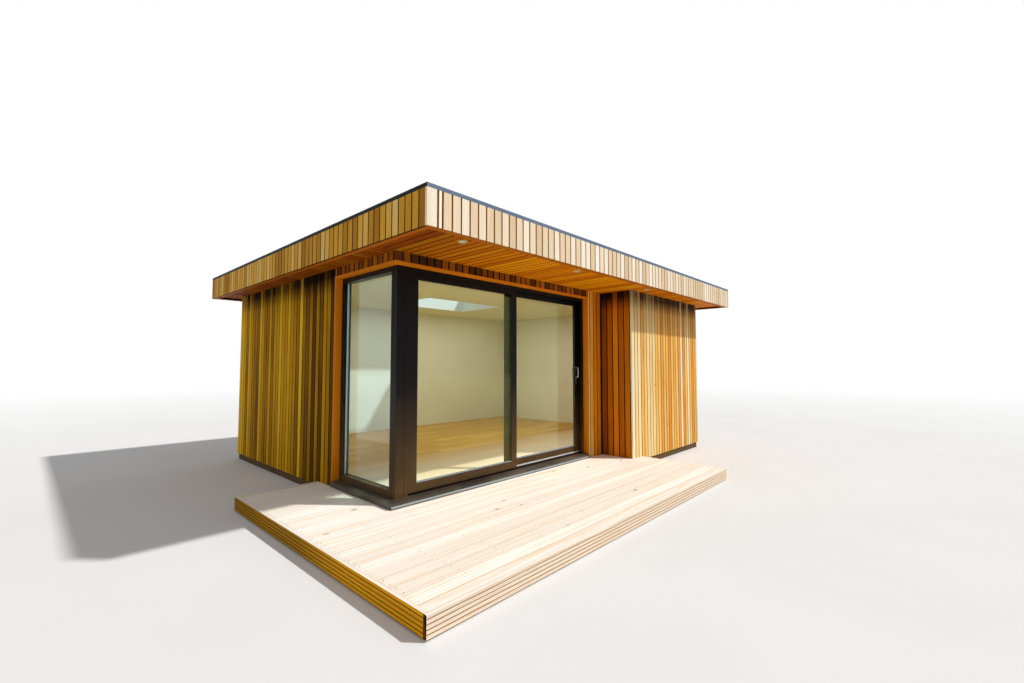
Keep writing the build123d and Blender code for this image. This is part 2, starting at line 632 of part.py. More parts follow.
def leaves():
    """Fixed leaf on the outer track, sliding leaf on the inner one, and its rollers."""
    sight_z = (BOTTOM_RAIL_TOP, LEAVES_TOP - TOP_RAIL)
    hook_z = (THRESHOLD_LIP + INTERLOCK_MARGIN, FRAME_HEIGHT - FRAME_FACE - INTERLOCK_MARGIN)

    x = (FIXED_LEAF_START, FIXED_LEAF_END)
    sight_x = (x[0] + POST_STILE, x[1] - STILE)
    middle = FIXED_FACE + LEAF / 2
    pane_y = (middle - GLASS / 2, middle + GLASS / 2)
    frame, pane = glazed_frame(
        x, FIXED_FACE, LEAF, (RAIL_TOP, LEAVES_TOP), sight_x, sight_z, pane_y
    )
    hook_x = (sight_x[1] + JOINT, sight_x[1] + JOINT + INTERLOCK_WIDTH)
    frame += block(hook_x, (FIXED_BACK, FIXED_BACK + INTERLOCK_DEPTH), hook_z)
    save("fixed_leaf_frame", group(frame))
    save("fixed_leaf_glass", pane)

    x = (SLIDING_LEAF_START, SLIDING_LEAF_END)
    sight_x = (x[0] + STILE, x[1] - STILE)
    middle = SLIDING_FACE + LEAF / 2
    pane_y = (middle - GLASS / 2, middle + GLASS / 2)
    frame, pane = glazed_frame(
        x, SLIDING_FACE, LEAF, (SLIDING_LEAF_FOOT, LEAVES_TOP), sight_x, sight_z, pane_y
    )
    hook_end = hook_x[0] - INTERLOCK_GAP
    hook_y = (SLIDING_FACE - INTERLOCK_DEPTH + JOINT, SLIDING_FACE)
    frame += block((hook_end - INTERLOCK_WIDTH, hook_end), hook_y, hook_z)

    axle_z = RAIL_TOP + ROLLER_GAP + ROLLER_RADIUS
    across = Rot(90, 0, 0)
    wheel = across * Cylinder(ROLLER_RADIUS, ROLLER_WIDTH)
    wheel += across * Cylinder(ROLLER_AXLE_RADIUS, ROLLER_SLOT_WIDTH)
    slot_y = (middle - ROLLER_SLOT_WIDTH / 2, middle + ROLLER_SLOT_WIDTH / 2)
    slot_z = (SLIDING_LEAF_FOOT, SLIDING_LEAF_FOOT + ROLLER_SLOT_HEIGHT)
    rollers = []
    for place in (x[0] + ROLLER_INSET, x[1] - ROLLER_INSET):
        slot_x = (place - 2 * ROLLER_RADIUS, place + 2 * ROLLER_RADIUS)
        frame -= block(slot_x, slot_y, slot_z)
        rollers.append(Pos(place, middle, axle_z) * wheel)
    save("sliding_leaf_frame", group(frame))
    save("sliding_leaf_glass", pane)
    save("door_rollers", group(*rollers))


def bow_handle(face, outward):
    """Backplate, bowed grip and key cylinder on one face of the sliding leaf."""
    plate = Box(HANDLE_PLATE_WIDTH, HANDLE_PLATE, HANDLE_PLATE_LENGTH)
    plate = fillet(plate.edges().filter_by(Axis.Y), HANDLE_PLATE_WIDTH / 3)
    half = HANDLE_GRIP_LENGTH / 2
    lift = HANDLE_PLATE_LENGTH / 2 - half - 2 * HANDLE_GRIP_RADIUS
    reach = outward * HANDLE_STANDOFF
    path = FilletPolyline(
        (0, 0, lift - half),
        (0, reach, lift - half),
        (0, reach, lift + half),
        (0, 0, lift + half),
        radius=HANDLE_STANDOFF / 2,
    )
    start = Plane(origin=(0, 0, lift - half), z_dir=(0, outward, 0))
    grip = sweep(start * Circle(HANDLE_GRIP_RADIUS), path)
    cylinder = Rot(90, 0, 0) * Cylinder(CYLINDER_RADIUS, 3 * HANDLE_PLATE)
    shape = Pos(0, outward * HANDLE_PLATE / 2, 0) * plate
    shape += grip + Pos(0, outward * HANDLE_PLATE, -CYLINDER_DROP) * cylinder
    behind = sorted((0, -outward * HANDLE_STANDOFF))
    reach_x = (-HANDLE_PLATE_WIDTH, HANDLE_PLATE_WIDTH)
    shape -= block(reach_x, behind, (-HANDLE_PLATE_LENGTH, HANDLE_PLATE_LENGTH))
    return Pos(SLIDING_LEAF_END - HANDLE_INSET, face, HANDLE_Z) * shape


def handles():
    """Pull handles outside and inside the sliding leaf."""
    save("pull_handles", group(bow_handle(SLIDING_FACE, -1), bow_handle(SLIDING_BACK, 1)))


def corner_window():
    """Fixed window beside the post, in the left side of the glazed corner."""
    x = (-GLAZED_SIDE, -POST_DEPTH)
    frame, pane = glazed_frame(
        x,
        0,
        POST_WIDTH,
        (SILL_BACK, FRAME_HEIGHT),
        (x[0] + WINDOW_FACE, x[1] - WINDOW_FACE),
        (SILL_BACK + WINDOW_BOTTOM, FRAME_HEIGHT - WINDOW_FACE),
        (WINDOW_GLASS_RECESS, WINDOW_GLASS_RECESS + GLASS),
    )
    # Drawn across the front, then turned a quarter so that its outside faces left
    turn = Rot(0, 0, -90)
    save("corner_window_frame", group(turn * frame))
    save("corner_window_glass", turn * pane)


os.makedirs("parts", exist_ok=True)
ground_frames()
deck()
floor()
walls()
linings()
cladding()
opening_liner()
roof()
soffit()
rooflight()
sill()
door_frame()
leaves()
handles()
corner_window()
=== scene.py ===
import math
import random

import bmesh
import bpy
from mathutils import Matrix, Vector


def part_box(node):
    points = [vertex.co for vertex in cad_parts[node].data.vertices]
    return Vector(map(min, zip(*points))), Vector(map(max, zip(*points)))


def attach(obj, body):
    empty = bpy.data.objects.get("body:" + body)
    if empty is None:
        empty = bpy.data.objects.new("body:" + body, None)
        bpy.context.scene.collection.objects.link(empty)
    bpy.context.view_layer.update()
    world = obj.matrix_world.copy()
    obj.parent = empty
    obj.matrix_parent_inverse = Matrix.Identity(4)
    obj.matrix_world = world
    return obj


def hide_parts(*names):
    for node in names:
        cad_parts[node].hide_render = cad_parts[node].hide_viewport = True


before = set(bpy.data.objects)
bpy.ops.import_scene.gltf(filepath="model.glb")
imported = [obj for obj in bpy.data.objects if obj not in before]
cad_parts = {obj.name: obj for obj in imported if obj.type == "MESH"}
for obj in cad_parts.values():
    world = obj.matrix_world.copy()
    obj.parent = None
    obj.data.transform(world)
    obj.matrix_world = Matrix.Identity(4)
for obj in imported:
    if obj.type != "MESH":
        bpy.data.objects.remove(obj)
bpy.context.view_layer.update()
rng = random.Random(4890)

BODY = "pod"
X, Y, Z = Vector((1, 0, 0)), Vector((0, 1, 0)), Vector((0, 0, 1))
# The outer corner of the glazed corner at deck level, in the frame, in metres
CORNER = Vector((-2.4935, -1.332, 0.13))

# Sizes of the boards, in metres
PITCH = 0.086
BOARD = 0.073
BAND_BOARD = 0.070
LEAST_BOARD = 0.012
ARRIS = 0.0015
BACKING = 0.0015
# How much thinner some boards are than their neighbours
UNEVEN = 0.0006
DECK_UNEVEN = 0.0008
# How far the painted shade on a gap's sides goes from light to dark
GAP_DEPTH = 0.02
# Anything nearer than this to a face lies on it
ON_FACE = 0.001

# The deck: its boards and their grooves, the edge boards' grooves, and the screws over the joists
DECK_PITCH = 0.1312
DECK_GAP = 0.006
DECK_FRONT_Y = CORNER.y - 1.496
DECK_GROOVE_PITCH = 0.0125
DECK_GROOVE = (0.005, 0.003)
EDGE_GROOVE_PITCH = 0.025
EDGE_GROOVE_FIRST = 0.023
EDGE_GROOVE = (0.006, 0.004)
DECK_RAGGED_END = (0.001, 0.004)
FIRST_JOIST = 0.022
JOIST_PITCH = 0.3818
JOISTS = 12
SCREW_INSET = 0.0275
# Rings of (radius, rise) round a screw's axis
SCREW_RINGS = ((0.0040, -0.0002), (0.0016, -0.0004), (0.0012, -0.0014))
SCREW_SIDES = 8

# The soffit lights: the holes' radius, and rings of (radius, rise) round each lens's axis
LIGHT_HOLE = 0.038
LENS_RINGS = ((0.0275, 0.0105), (0.0240, 0.0105), (0.0225, 0.0090), (0.0080, 0.0084))
LENS_SIDES = 40
HOLE_STEPS = 12

# The floor inside
PLANK_ROW = 0.180
PLANK_WIDTH = 0.1796
PLANK_LENGTH = 1.2
PLANK_THICK = 0.014
PLANK_ARRIS = 0.0006
PLANK_STAGGER = 0.47

# How far up the frames the painted reflection of the deck, with some splashed dirt, reaches
DECK_REFLECTION_HEIGHT = 1.3
# Just above the ceiling's underside, where the rooflight's shaft begins
SHAFT_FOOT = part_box("ceiling")[0][2] + 0.004
# Where the painted shade and dirt on the outer rails end
RAIL_SHADE_END = CORNER.y + 0.045
# Puts the roof sheet's laps, a metre apart, at their places in x
LAP_OFFSET = 20.35

# Where the pier's boards start and end, from the glazed corner, and how pale each one is; the last two
# are darker as painted shade of the inner corner
PIER_BOARDS = ((2.906, 2.934), (2.947, 3.020), (3.033, 3.106), (3.119, 3.190))
PIER_TONES = (0.95, 0.75, 0.45, 0.35)
# The left wall's first boards from the glazed corner on, darker near the glazing partly for their own
# tones and partly as painted shade
LEFT_TONES = (0.03, 0.38, 0.5, 0.05, 0.34, 0.0, 0.3, 0.1, 0.25)
# The bay's from its left edge on, and the return's from the inner corner outwards
BAY_TONES = (0.95, 0.6, 0.85, 0.3)
RETURN_TONES = (0.15, 0.35, 0.75, 0.35, 0.45, 0.8)
# Starts and widths of the fascias' first boards from their shared corner, where the others
# begin, and the first tones
FRONT_FASCIA = (((0.0, 0.090), (0.106, 0.026)), 0.148, (0.7, 0.95, 0.4))
LEFT_FASCIA = (((0.0005, 0.066),), 0.079, (0.05, 0.5))

# Camera and sun, from the photograph's straight lines and shadows
CAMERA_PLACE = (-4.7255, -4.793, 1.344)
CAMERA_TURN = 47.04
CAMERA_RISE = 2.95
CAMERA_LENS = 16.03
TOWARD_SUN = Vector((0.50, -0.60, 0.82))
SUN_STRENGTH = 2.95
FILL_STRENGTH = 0.44
ROOM_WATTS = 34
WARM_LIGHT = (1.0, 0.98, 0.94)
# How far from the middle the floor starts and ends fading to white
FLOOR_FADES = (8.0, 24.0)


# Materials

def rgb(r, g, b):
    """A colour as it looks on screen, 0 to 255, as Blender's linear numbers."""
    def one(c):
        c = c / 255
        return c / 12.92 if c <= 0.04045 else ((c + 0.055) / 1.055) ** 2.4
    return (one(r), one(g), one(b), 1)


class Tree:
    """A short way to write the nodes of a material, or of the world."""

    def __init__(self, owner, output="ShaderNodeOutputMaterial"):
        self.owner = owner
        owner.use_nodes = True
        self.nodes = owner.node_tree.nodes
        self.links = owner.node_tree.links
        self.nodes.clear()
        self.out = self.nodes.new(output)

    def fill(self, socket, value):
        if isinstance(value, bpy.types.NodeSocket):
            self.links.new(value, socket)
        else:
            socket.default_value = value

    def add(self, kind, inputs=None, **props):
        node = self.nodes.new(kind)
        for key, value in props.items():
            setattr(node, key, value)
        for key, value in (inputs or {}).items():
            self.fill(node.inputs[key], value)
        return node

    def math(self, operation, a, b=0.0, clamp=False):
        inputs = {0: a, 1: b}
        return self.add("ShaderNodeMath", inputs, operation=operation, use_clamp=clamp).outputs[0]

    def mix(self, factor, a, b, blend="MIX"):
        node = self.add("ShaderNodeMix", data_type="RGBA", blend_type=blend)
        for key, value in ((0, factor), (6, a), (7, b)):
            self.fill(node.inputs[key], value)
        return node.outputs[2]

    def ramp(self, value, colours):
        node = self.add("ShaderNodeValToRGB", {0: value})
        elements = node.color_ramp.elements
        while len(elements) < len(colours):
            elements.new(0.5)
        for n, (element, colour) in enumerate(zip(elements, colours)):
            element.position = n / (len(colours) - 1)
            element.color = colour
        return node.outputs[0]

    def span(self, value, low, high, to_low=0.0, to_high=1.0):
        limits = {0: value, 1: low, 2: high, 3: to_low, 4: to_high}
        return self.add("ShaderNodeMapRange", limits).outputs[0]

    def noise(self, vector, scale, detail=4.0, rough=0.55):
        inputs = {"Vector": vector, "Scale": scale, "Detail": detail, "Roughness": rough}
        return self.add("ShaderNodeTexNoise", inputs).outputs[0]

    def scaled(self, vector, scale):
        return self.add("ShaderNodeMapping", {"Vector": vector, "Scale": scale}).outputs[0]

    def bump(self, height, strength, distance):
        inputs = {"Height": height, "Strength": strength, "Distance": distance}
        return self.add("ShaderNodeBump", inputs).outputs[0]

    def place(self):
        return self.add("ShaderNodeTexCoord").outputs["Object"]

    def coordinate(self, axis):
        return self.add("ShaderNodeSeparateXYZ", {0: self.place()}).outputs[axis]

    def facing(self, direction):
        """The cosine between the surface and a direction."""
        normal = self.add("ShaderNodeNewGeometry").outputs["Normal"]
        inputs = {0: normal, 1: direction}
        dot = self.add("ShaderNodeVectorMath", inputs, operation="DOT_PRODUCT")
        return dot.outputs["Value"]

    def blend(self, factor, first, second):
        inputs = {0: factor, 1: first.outputs[0], 2: second.outputs[0]}
        return self.add("ShaderNodeMixShader", inputs)

    def finish(self, shader):
        self.links.new(shader.outputs[0], self.out.inputs["Surface"])
        return self.owner

    def coat(self, inputs):
        """End with the usual surface shader."""
        return self.finish(self.add("ShaderNodeBsdfPrincipled", inputs))


def material_tree(name):
    return Tree(bpy.data.materials.new(name))


def board_coordinates(t):
    """Across, through and along the grain, with each board's tone and its depth from the face."""
    grain = t.add("ShaderNodeAttribute", attribute_name="grain").outputs["Vector"]
    tone = t.add("ShaderNodeAttribute", attribute_name="tone").outputs["Fac"]
    deep = t.add("ShaderNodeAttribute", attribute_name="deep").outputs["Fac"]
    return grain, tone, deep


def axis_coordinates(t, along):
    """The same for CAD pieces, from the frame's axes, with the grain along one of them."""
    parts = t.add("ShaderNodeSeparateXYZ", {0: t.place()})
    order = {"X": (1, 2, 0), "Y": (0, 2, 1), "Z": (0, 1, 2)}[along]
    inputs = {n: parts.outputs[order[n]] for n in range(3)}
    grain = t.add("ShaderNodeCombineXYZ", inputs).outputs[0]
    return grain, t.noise(t.scaled(grain, (0.8, 0.8, 0.15)), 1.0, 1.0), 1.0


def growth_rings(t, grain):
    """Rings sawn along their length, bent a little by slow noise."""
    bend = t.noise(t.scaled(grain, (6.0, 6.0, 0.8)), 1.0, 2.0)
    inputs = {0: t.scaled(grain, (20.0, 12.0, 0.4)), 1: bend}
    shifted = t.add("ShaderNodeVectorMath", inputs, operation="ADD").outputs[0]
    inputs = {"Vector": shifted, "Scale": 0.9, "Distortion": 4.0, "Detail": 3.0, "Detail Scale": 1.2}
    wave = t.add("ShaderNodeTexWave", inputs, wave_type="RINGS", rings_direction="Z")
    return wave.outputs["Fac"]


def knot_eyes(t, grain, reach, strength):
    """About one cell in four holds a knot."""
    cell = t.add("ShaderNodeTexVoronoi", {"Vector": t.scaled(grain, (9.0, 4.0, 4.5)), "Scale": 1.0})
    parts = t.add("ShaderNodeSeparateColor", {0: cell.outputs["Color"]})
    chosen = t.math("GREATER_THAN", parts.outputs[0], 0.78)
    near = t.span(cell.outputs["Distance"], 0.04, reach, strength, 0.0)
    return t.math("MULTIPLY", near, chosen)


def painted_eaves_shade(t, colour, tone, eaves):
    """Painted shade: darker from one height to another towards the eaves, and nearly black on the darker
    boards' tops right under them.
    """
    rise = t.coordinate(2)
    colour = t.mix(t.span(rise, *eaves), colour, SHADE_TOWARD_EAVES, "MULTIPLY")
    top_shade = t.math("MULTIPLY", t.span(rise, *DARK_TOP), t.span(tone, 0.35, 0.9, 1.0, 0.5))
    return t.mix(top_shade, colour, SHADE_UNDER_EAVES, "MULTIPLY")


def wood(name, tones, streak, gap, figure=0.3, knots=0.5, weather=0.0, shine=(0.5, 0.75),
         bump=0.25, along=None, gloss=0.15, vary=0.09, bands=0.0, knot_reach=0.11,
         eaves=None, fade=None):
    """Timber with its grain along each board, a tone for each board, and gaps darkened with painted
    shade and some dirt.

    It darkens with painted shade from one height to another under the eaves, and fades to a colour along
    an axis: painted shade on the soffit and the deck's side edge, painted light on the floor planks by
    the glass.
    """
    t = material_tree(name)
    grain, tone, deep = axis_coordinates(t, along) if along else board_coordinates(t)
    streaks = t.noise(t.scaled(grain, (170.0, 120.0, 2.2)), 1.0, 4.0, 0.6)
    fibres = t.noise(t.scaled(grain, (420.0, 420.0, 7.0)), 1.0, 3.0, 0.65)
    clouds = t.noise(t.scaled(grain, (7.0, 7.0, 1.1)), 1.0, 3.0)

    level = t.math("ADD", tone, t.span(clouds, 0.3, 0.7, -0.10, 0.10))
    level = t.math("ADD", level, t.span(streaks, 0.3, 0.7, -vary, vary), clamp=True)
    colour = t.ramp(level, tones)
    figured = [t.span(growth_rings(t, grain), 0.4, 0.95, 0.0, figure),
               t.span(fibres, 0.5, 0.8, 0.0, figure)]
    if bands:
        long_bands = t.noise(t.scaled(grain, (76.0, 76.0, 0.6)), 1.0, 2.0)
        figured.append(t.span(long_bands, 0.5, 0.66, 0.0, bands))
    for factor in figured:
        colour = t.mix(factor, colour, streak, "MULTIPLY")
    colour = t.mix(knot_eyes(t, grain, knot_reach, knots), colour, KNOT, "MULTIPLY")
    if weather:
        colour = t.mix(t.span(clouds, 0.45, 0.75, 0.0, weather), colour, WEATHERED)
    # Painted shade, with some dirt, on the gaps' sides
    colour = t.mix(t.span(deep, 0.88, 0.95, 1.0, 0.0), colour, gap, "MULTIPLY")
    # Painted shade under the eaves
    if eaves:
        colour = painted_eaves_shade(t, colour, tone, eaves)
    if fade:
        axis, start, end, other, blend = fade
        colour = t.mix(t.span(t.coordinate(axis), start, end), colour, other, blend)

    height = t.math("ADD", t.math("MULTIPLY", fibres, 0.5), t.math("MULTIPLY", streaks, 0.7))
    return t.coat({
        "Base Color": colour, "Roughness": t.span(streaks, 0.3, 0.7, shine[1], shine[0]),
        "Normal": t.bump(height, bump, 0.0015), "Specular IOR Level": gloss,
    })


def orange_peel(t, cloud, rough):
    """The rest of a powder coat: uneven gloss and a fine bump."""
    return {"Roughness": t.span(cloud, 0.3, 0.7, rough * 0.85, rough * 1.25),
            "Normal": t.bump(t.noise(t.place(), 900.0, 2.0), 0.12, 0.0004)}


def coated_metal(name, colour, rough, dust, metallic=0.0, dust_amount=0.25, gloss=0.5,
                 deck_reflection_and_dirt=None, edge=None):
    """Powder coat or bare metal, with a faint orange peel, dust, a brown foot that is a painted
    reflection of the deck with some splashed dirt, and an edge with a painted reflection of the sky.

    The edge is a colour, the way its faces look, how nearly they do, and its range along an axis.
    """
    t = material_tree(name)
    cloud = t.noise(t.place(), 2.3, 5.0)
    shade = t.mix(t.span(cloud, 0.35, 0.75, 0.0, dust_amount), colour, dust)
    if deck_reflection_and_dirt:
        near = t.span(t.coordinate(2), CORNER.z + 0.1, CORNER.z + DECK_REFLECTION_HEIGHT, 1.0, 0.0)
        patchy = t.math("MULTIPLY", t.math("POWER", near, 2.0), t.span(cloud, 0.2, 0.6, 0.5, 1.0))
        shade = t.mix(patchy, shade, deck_reflection_and_dirt)
    # Painted reflection of the sky on the edge's faces
    if edge:
        pale, toward, least, axis, low, high = edge
        turned = t.math("GREATER_THAN", t.facing(toward), least)
        way = t.coordinate(axis)
        inside = t.math("MULTIPLY", t.math("GREATER_THAN", way, low), t.math("LESS_THAN", way, high))
        shade = t.mix(t.math("MULTIPLY", turned, inside), shade, pale)
    return t.coat({"Base Color": shade, "Metallic": metallic, "Specular IOR Level": gloss,
                   **orange_peel(t, cloud, rough)})


def black_coat(name, edge=None):
    """The frames' black powder coat, brown at its foot with a painted reflection of the deck and some
    splashed dirt.
    """
    return coated_metal(name, rgb(10, 10, 9), 0.34, rgb(15, 13, 9), gloss=0.18,
                        deck_reflection_and_dirt=rgb(92, 68, 38), edge=edge)


def sunlit_and_shaded_metal(name, shaded_colour, sunlit_colour, rough):
    """Powder coat painted lighter, with paler patches, on the faces turned to the sun, and dark on the
    others: painted light and shade.
    """
    t = material_tree(name)
    cloud = t.noise(t.place(), 2.3, 5.0)
    sunlit_patches = t.mix(t.span(cloud, 0.35, 0.75, 0.0, 0.3), sunlit_colour, rgb(130, 142, 158))
    shade = t.mix(t.span(t.facing(TOWARD_SUN.normalized()), 0.0, 0.3), shaded_colour, sunlit_patches)
    return t.coat({"Base Color": shade, "Specular IOR Level": 0.2, **orange_peel(t, cloud, rough)})


def brushed(name, colour, axis_scale, rough=0.3, metallic=1.0, shaded_before=None):
    """Metal with fine lines drawn along one axis, dark brown with painted shade and dirt in front of a
    given y.
    """
    t = material_tree(name)
    lines = t.noise(t.scaled(t.place(), axis_scale), 1.0, 3.0, 0.7)
    darker = tuple(c * 0.72 for c in colour[:3]) + (1,)
    shade = t.mix(t.span(lines, 0.3, 0.7), colour, darker)
    if shaded_before:
        shade = t.mix(t.math("LESS_THAN", t.coordinate(1), shaded_before), shade, RAIL_SHADE_AND_DIRT)
    return t.coat({
        "Base Color": shade, "Metallic": metallic, "Normal": t.bump(lines, 0.15, 0.0003),
        "Roughness": t.span(lines, 0.3, 0.7, rough * 0.8, rough * 1.3),
    })


def paint(name, colour, bump=0.06, shaft=None):
    """Rolled matt paint on board, with a bluer, brighter white in the rooflight's shaft if given, as
    painted skylight.
    """
    t = material_tree(name)
    nap = t.noise(t.place(), 260.0, 3.0)
    cloud = t.noise(t.place(), 1.1, 3.0)
    if shaft:
        colour = t.mix(t.math("GREATER_THAN", t.coordinate(2), SHAFT_FOOT), colour, shaft)
    return t.coat({
        "Base Color": t.mix(t.span(cloud, 0.35, 0.7, 0.0, 0.07), colour, BLACKENED),
        "Roughness": t.span(nap, 0.3, 0.7, 0.8, 0.95), "Normal": t.bump(nap, bump, 0.0006),
    })


def glazing(name, tint, sheen):
    """Clear double glazing, its transmission and reflections tinted as painted light, which lets lamps
    and soft light through.
    """
    t = material_tree(name)
    ripple = t.noise(t.place(), 1.6, 1.0)
    glass = t.add("ShaderNodeBsdfPrincipled", {
        "Base Color": tint, "Roughness": 0.0, "IOR": 1.5, "Transmission Weight": 1.0,
        "Specular Tint": sheen, "Normal": t.bump(ripple, 0.02, 0.002),
    })
    clear = t.add("ShaderNodeBsdfTransparent", {"Color": tint})
    rays = t.add("ShaderNodeLightPath").outputs
    soft = t.math("ADD", rays["Is Shadow Ray"], rays["Is Diffuse Ray"], clamp=True)
    return t.finish(t.blend(soft, glass, clear))


def rubber_sheet(name, colour):
    """Roof sheet with welded laps a metre apart and a little grit and standing dust."""
    t = material_tree(name)
    place = t.math("FRACT", t.math("ADD", t.coordinate(0), LAP_OFFSET))
    lap = t.span(place, 0.0, 0.012, 1.0, 0.0)
    grit = t.noise(t.place(), 340.0, 3.0)
    dust = t.noise(t.place(), 1.4, 6.0, 0.65)
    height = t.math("ADD", t.math("MULTIPLY", grit, 0.15), lap)
    return t.coat({
        "Base Color": t.mix(t.span(dust, 0.4, 0.75, 0.0, 0.55), colour, rgb(120, 120, 116)),
        "Roughness": t.span(dust, 0.3, 0.7, 0.55, 0.85), "Normal": t.bump(height, 0.5, 0.002),
    })


# Painted shade in the gaps, with some dirt: what a gap's sides keep of the board's own colour
WARM_GAP = rgb(92, 50, 14)
DARK_GAP = rgb(44, 30, 16)
# Painted shade: what boards keep of their colour towards the eaves, and right under them
SHADE_TOWARD_EAVES = (0.36, 0.36, 0.24, 1)
SHADE_UNDER_EAVES = (0.07, 0.05, 0.03, 1)
DARK_TOP = (2.08, 2.26)
# What knots keep of the timber's colour, what it weathers toward, and the painted light on the floor
# planks by the glass
KNOT = (0.42, 0.18, 0.04, 1)
WEATHERED = rgb(186, 178, 166)
FLOOR_LIGHT_BY_GLASS = rgb(255, 246, 238)
# Painted shade: what the soffit and the deck's side edge keep of their colour at their darker ends
SOFFIT_SHADE = (0.45, 0.36, 0.50, 1)
DECK_SIDE_SHADE = (0.50, 0.50, 0.55, 1)
# Painted shade and dirt on the outer rails, and the black that the paint's faint clouds darken towards
RAIL_SHADE_AND_DIRT = rgb(44, 34, 24)
BLACKENED = (0, 0, 0, 1)
# The sunny faces' boards are paler and the shaded faces' darker and more orange, partly from bleaching
# and partly as painted light and shade
WALL_FRONT = wood(
    "larch_front",
    [rgb(226, 150, 54), rgb(246, 196, 98), rgb(252, 228, 158), rgb(254, 244, 212)],
    rgb(222, 160, 90), WARM_GAP, figure=0.3, knots=0.7, vary=0.16, bands=0.4, eaves=(1.85, 2.70),
)
WALL_SIDE = wood(
    "larch_side",
    [rgb(96, 64, 3), rgb(178, 130, 5), rgb(226, 172, 10), rgb(250, 206, 50)],
    rgb(214, 156, 60), DARK_GAP, figure=0.25, knots=0.35, gloss=0.04, eaves=(1.90, 2.90),
)
WALL_SHELTERED = wood(
    "larch_sheltered",
    [rgb(70, 40, 2), rgb(104, 58, 3), rgb(142, 80, 5), rgb(182, 110, 14)],
    rgb(200, 130, 60), DARK_GAP, figure=0.25, knots=0.3,
)
WALL_RETURN = wood(
    "larch_return",
    [rgb(120, 65, 2), rgb(194, 108, 5), rgb(240, 144, 8), rgb(252, 170, 28)],
    rgb(204, 134, 66), DARK_GAP, figure=0.25, knots=0.3, eaves=(1.95, 2.60),
)
WALL_PIER = wood(
    "larch_pier",
    [rgb(150, 78, 2), rgb(230, 136, 8), rgb(251, 172, 22), rgb(255, 234, 164)],
    rgb(214, 148, 80), DARK_GAP, figure=0.25, knots=0.3,
)
# The sunny fascias are paler than the shaded ones, partly from bleaching and partly as painted light and
# shade
FASCIA_FRONT = wood(
    "larch_fascia_front",
    [rgb(216, 190, 154), rgb(232, 212, 182), rgb(244, 232, 210), rgb(252, 247, 238)],
    rgb(236, 208, 166), rgb(196, 142, 70), figure=0.25, knots=0.4, vary=0.12,
)
FASCIA_SIDE = wood(
    "larch_fascia_side",
    [rgb(174, 118, 18), rgb(210, 153, 38), rgb(232, 180, 64), rgb(246, 212, 132)],
    rgb(212, 162, 96), DARK_GAP, figure=0.3, knots=0.3,
)
SOFFIT = wood(
    "larch_soffit_boards",
    [rgb(184, 94, 1), rgb(230, 130, 2), rgb(246, 154, 5), rgb(252, 178, 20)],
    rgb(212, 138, 56), rgb(26, 15, 5), figure=0.25, knots=0.25, gloss=0.08,
    fade=(0, CORNER.x + 1.0, CORNER.x - 0.1, SOFFIT_SHADE, "MULTIPLY"),
)
EAVES_BATTEN = wood(
    "larch_batten", [rgb(176, 92, 6), rgb(208, 120, 14)], rgb(206, 140, 66), DARK_GAP, knots=0.2
)
LINER = wood(
    "larch_liner", [rgb(206, 108, 6), rgb(230, 134, 12), rgb(246, 158, 24)],
    rgb(216, 144, 66), WARM_GAP, figure=0.25, knots=0.25,
)
DECKING = wood(
    "deck_softwood",
    [rgb(238, 233, 226), rgb(246, 244, 240), rgb(250, 250, 248), rgb(252, 252, 252)],
    rgb(247, 224, 194), rgb(244, 200, 134), figure=0.35, knots=1.0, weather=0.1, shine=(0.6, 0.85),
    gloss=0.25, bands=0.7, knot_reach=0.18,
)
# The front edge boards are paler than the side ones, partly from bleaching and partly as painted light
# and shade
DECK_FRONT = wood(
    "deck_edge_front", [rgb(231, 213, 192), rgb(245, 229, 210), rgb(252, 242, 227)],
    rgb(232, 206, 176), rgb(150, 112, 80), figure=0.5, knots=0.6, weather=0.2, shine=(0.6, 0.85),
    gloss=0.25,
)
DECK_SIDE = wood(
    "deck_edge_side", [rgb(222, 154, 7), rgb(252, 188, 14), rgb(255, 216, 44)],
    rgb(222, 150, 60), rgb(34, 24, 8), figure=0.45, knots=0.6, shine=(0.6, 0.85),
    fade=(1, CORNER.y - 0.8, CORNER.y - 0.05, DECK_SIDE_SHADE, "MULTIPLY"),
)
END_GRAIN = wood(
    "deck_end_grain", [rgb(84, 46, 8), rgb(116, 70, 18)], rgb(150, 100, 60), DARK_GAP,
    shine=(0.7, 0.9),
)
FASCIA_BACK = wood(
    "fascia_grounds", [rgb(112, 60, 22), rgb(140, 80, 32)], rgb(150, 90, 50), DARK_GAP, knots=0.2
)
FRAMING = wood(
    "rough_framing", [rgb(92, 72, 46), rgb(116, 92, 60)], rgb(160, 120, 70), DARK_GAP,
    along="Y", bump=0.5,
)
# The floor planks go paler towards the glass as painted light
PLANKS = wood(
    "floor_planks", [rgb(182, 132, 42), rgb(202, 152, 58), rgb(218, 176, 80)],
    rgb(206, 168, 122), rgb(150, 124, 96), figure=0.35, knots=0.2, shine=(0.3, 0.42), bump=0.08,
    fade=(1, CORNER.y + 1.5, CORNER.y + 0.3, FLOOR_LIGHT_BY_GLASS, "MIX"),
)
PANEL = wood(
    "panel_board", [rgb(168, 138, 92), rgb(190, 158, 108)], rgb(160, 124, 78), DARK_GAP,
    along="Z", knots=0.2,
)
MEMBRANE = coated_metal("breather_membrane", rgb(16, 13, 10), 0.8, rgb(24, 19, 14))
BLACK = black_coat("black_powder_coat")
